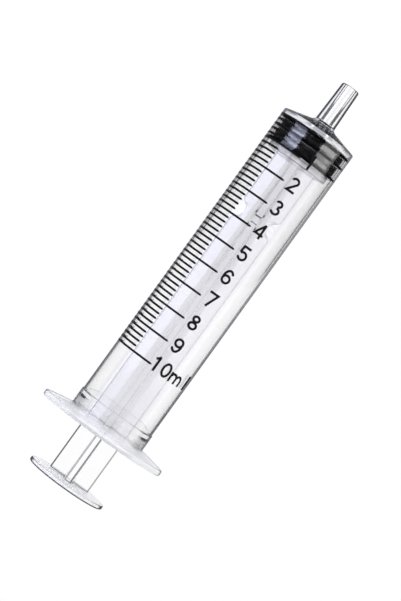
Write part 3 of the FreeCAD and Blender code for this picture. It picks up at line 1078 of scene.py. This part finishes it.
class SYRINGE_OT_plunger_rod(bpy.types.Operator):
    """Four-winged plunger rod with its thumb rest, waist, support disc and head"""
    bl_idname = "syringe.plunger_rod"
    bl_label = "Plunger Rod"

    def execute(self, context):
        s = context.scene.syringe_rod
        mesh = united("plunger_rod_clear", wings_mesh(s), thumb_rest_mesh(s), disc_and_head_mesh(s))
        tidy_mesh(mesh, CLEAR_SHARP)
        plastic = clear_plastic("clear_rod_plastic", s, s.tint, rod_haze, rod_lines, rod_cloud)
        piece("plunger_rod_clear", mesh, plastic, "plunger", "rod_plastic", "plunger_rod")
        return {"FINISHED"}


# Stage

def clear_sight(shader):
    """Light path, and whether a ray comes from the camera, through clear plastic or off gloss."""
    path = shader.add("ShaderNodeLightPath").outputs
    return path, shader.largest(path["Is Camera Ray"], path["Is Transmission Ray"], path["Is Glossy Ray"])


def backdrop_world(s):
    """White backdrop for the camera and through clear plastic, dimmer for what bounces."""
    world = bpy.data.worlds.new("white_studio")
    world.use_nodes = True
    bpy.context.scene.world = world
    shader = Shader(world.node_tree)
    path, seen = clear_sight(shader)
    way = shader.add("ShaderNodeTexCoord").outputs["Generated"]
    parts = shader.add("ShaderNodeSeparateXYZ", {"Vector": way}).outputs
    aside = shader.math("ARCTAN2", shader.math("ABSOLUTE", parts["X"]), parts["Y"])
    rise = shader.math("ARCSINE", shader.math("ABSOLUTE", parts["Z"]))

    def level_in(half_width, half_height):
        """Level of the dim room, with a white window of two half angles in it."""
        window = [shader.span(value, half + s.backdrop_blur, half - s.backdrop_blur)
                  for value, half in ((aside, half_width), (rise, half_height))]
        return shader.math("ADD", s.dark_room, shader.product(*window, 1.0 - s.dark_room))

    def choose(test, no, yes):
        return shader.add("ShaderNodeMix", {"Factor": test, 2: no, 3: yes}, data_type="FLOAT").outputs[0]

    # the camera sees white; light bent or bounced by the plastic sees a white panel in a dim room
    bounced = shader.math("GREATER_THAN", path["Glossy Depth"], 0.5)
    scattered = shader.math("GREATER_THAN", path["Diffuse Depth"], 0.5)
    level = choose(bounced, level_in(s.clear_view, math.pi / 2), level_in(s.backdrop, s.backdrop_rise))
    level = choose(path["Is Camera Ray"], level, 1.0)
    level = choose(scattered, level, s.room)
    level = choose(seen, s.room, level)
    light = shader.add("ShaderNodeBackground", {"Color": (1.0, 1.0, 1.0), "Strength": level})
    output = shader.add("ShaderNodeOutputWorld")
    world.node_tree.links.new(light.outputs[0], output.inputs["Surface"])


def softbox(name, start, end, s, glow, glow_colour):
    """Upright area lamp that covers the angles from start to end round the syringe."""
    middle = (start + end) / 2
    wide = 2 * s.card_distance * math.tan(abs(end - start) / 2)
    data = bpy.data.lights.new(name, "AREA")
    data.shape = "RECTANGLE"
    data.size = wide
    data.size_y = s.card_height
    data.color = glow_colour
    data.energy = glow * math.pi * wide * s.card_height
    lamp = linked(name, data)
    lamp.location = (s.card_distance * math.sin(middle), -s.card_distance * math.cos(middle), s.height)
    lamp.rotation_euler = (math.pi / 2, 0, middle)
    lamp.visible_camera = False


def floor_material(s):
    """White floor that keeps a trace of the syringe's shadow and fades into the backdrop."""
    material, shader = new_material("white_floor")
    reach = spot_of(shader).reach
    seen = clear_sight(shader)[1]
    far = shader.product(shader.span(reach, 10 * MM, 30 * MM, 1.0 - s.shadow, 1.0), seen)
    paint = shader.add("ShaderNodeBsdfDiffuse", {"Color": (0.9, 0.9, 0.9)})
    glow = shader.add("ShaderNodeEmission", {"Color": (1.0, 1.0, 1.0), "Strength": 1.0})
    shader.finish(shader.add("ShaderNodeMixShader", {0: far, 1: paint, 2: glow}))
    return material


def floor_mesh(s):
    """Level round floor, whose faces point up."""
    radii = (0.0, 0.02, 0.06, 0.15, 0.5, 3.0)
    mesh = ring_mesh("floor", [ring(radius, -s.drop, 96) for radius in radii], closed=False)
    for polygon in mesh.polygons:
        if polygon.normal.z < 0:
            polygon.flip()
    return mesh


class SYRINGE_OT_stage(bpy.types.Operator):
    """Camera, two softboxes, white floor and backdrop"""
    bl_idname = "syringe.stage"
    bl_label = "Stage"

    def execute(self, context):
        s = context.scene.syringe_stage
        scene = context.scene
        scene.view_settings.view_transform = "Standard"
        camera = bpy.data.cameras.new("camera")
        camera.sensor_fit = "AUTO"
        camera.sensor_width = 36
        camera.lens = s.focal
        camera.clip_start, camera.clip_end = 0.01, 50
        holder = linked("camera", camera)
        down = math.atan2(s.camera_height - s.height, s.distance)
        place = Matrix.Translation((s.aside, -s.distance, s.camera_height))
        tilt = Matrix.Rotation(math.pi / 2 - down, 4, "X")
        holder.matrix_world = place @ tilt @ Matrix.Rotation(s.roll, 4, "Z")
        scene.camera = holder
        backdrop_world(s)
        softbox("left_softbox", -s.left_from, -s.left_to, s, s.left_glow, s.left_colour)
        softbox("right_softbox", s.right_from, s.right_to, s, s.right_glow, s.right_colour)
        floor = linked("floor", floor_mesh(s))
        floor.data.materials.append(floor_material(s))
        return {"FINISHED"}


class SYRINGE_PT_panel(bpy.types.Panel):
    """Lists the syringe's pieces and its stage"""
    bl_idname = "SYRINGE_PT_panel"
    bl_label = "Syringe"
    bl_space_type = "VIEW_3D"
    bl_region_type = "UI"
    bl_category = "Syringe"

    def draw(self, context):
        for kind in OPERATORS:
            self.layout.operator(kind.bl_idname)
        for name, kind in SETTINGS.items():
            box = self.layout.box()
            box.label(text=kind.__doc__)
            for key in kind.__annotations__:
                box.prop(getattr(context.scene, name), key)


SETTINGS = {
    "syringe_barrel": BarrelSettings,
    "syringe_scale": ScaleSettings,
    "syringe_gasket": GasketSettings,
    "syringe_rod": RodSettings,
    "syringe_stage": StageSettings,
}
OPERATORS = (
    SYRINGE_OT_stage,
    SYRINGE_OT_barrel,
    SYRINGE_OT_scale_lines,
    SYRINGE_OT_scale_figures,
    SYRINGE_OT_gasket,
    SYRINGE_OT_plunger_rod,
)
CLASSES = (*SETTINGS.values(), *OPERATORS, SYRINGE_PT_panel)


def register():
    for kind in CLASSES:
        bpy.utils.register_class(kind)
    for name, kind in SETTINGS.items():
        setattr(bpy.types.Scene, name, bpy.props.PointerProperty(type=kind))


def unregister():
    for name in SETTINGS:
        delattr(bpy.types.Scene, name)
    for kind in reversed(CLASSES):
        bpy.utils.unregister_class(kind)


def main():
    register()
    bpy.ops.syringe.stage()
    bpy.ops.syringe.barrel()
    bpy.ops.syringe.scale_lines()
    bpy.ops.syringe.scale_figures()
    bpy.ops.syringe.gasket()
    bpy.ops.syringe.plunger_rod()


if __name__ == "__main__":
    main()
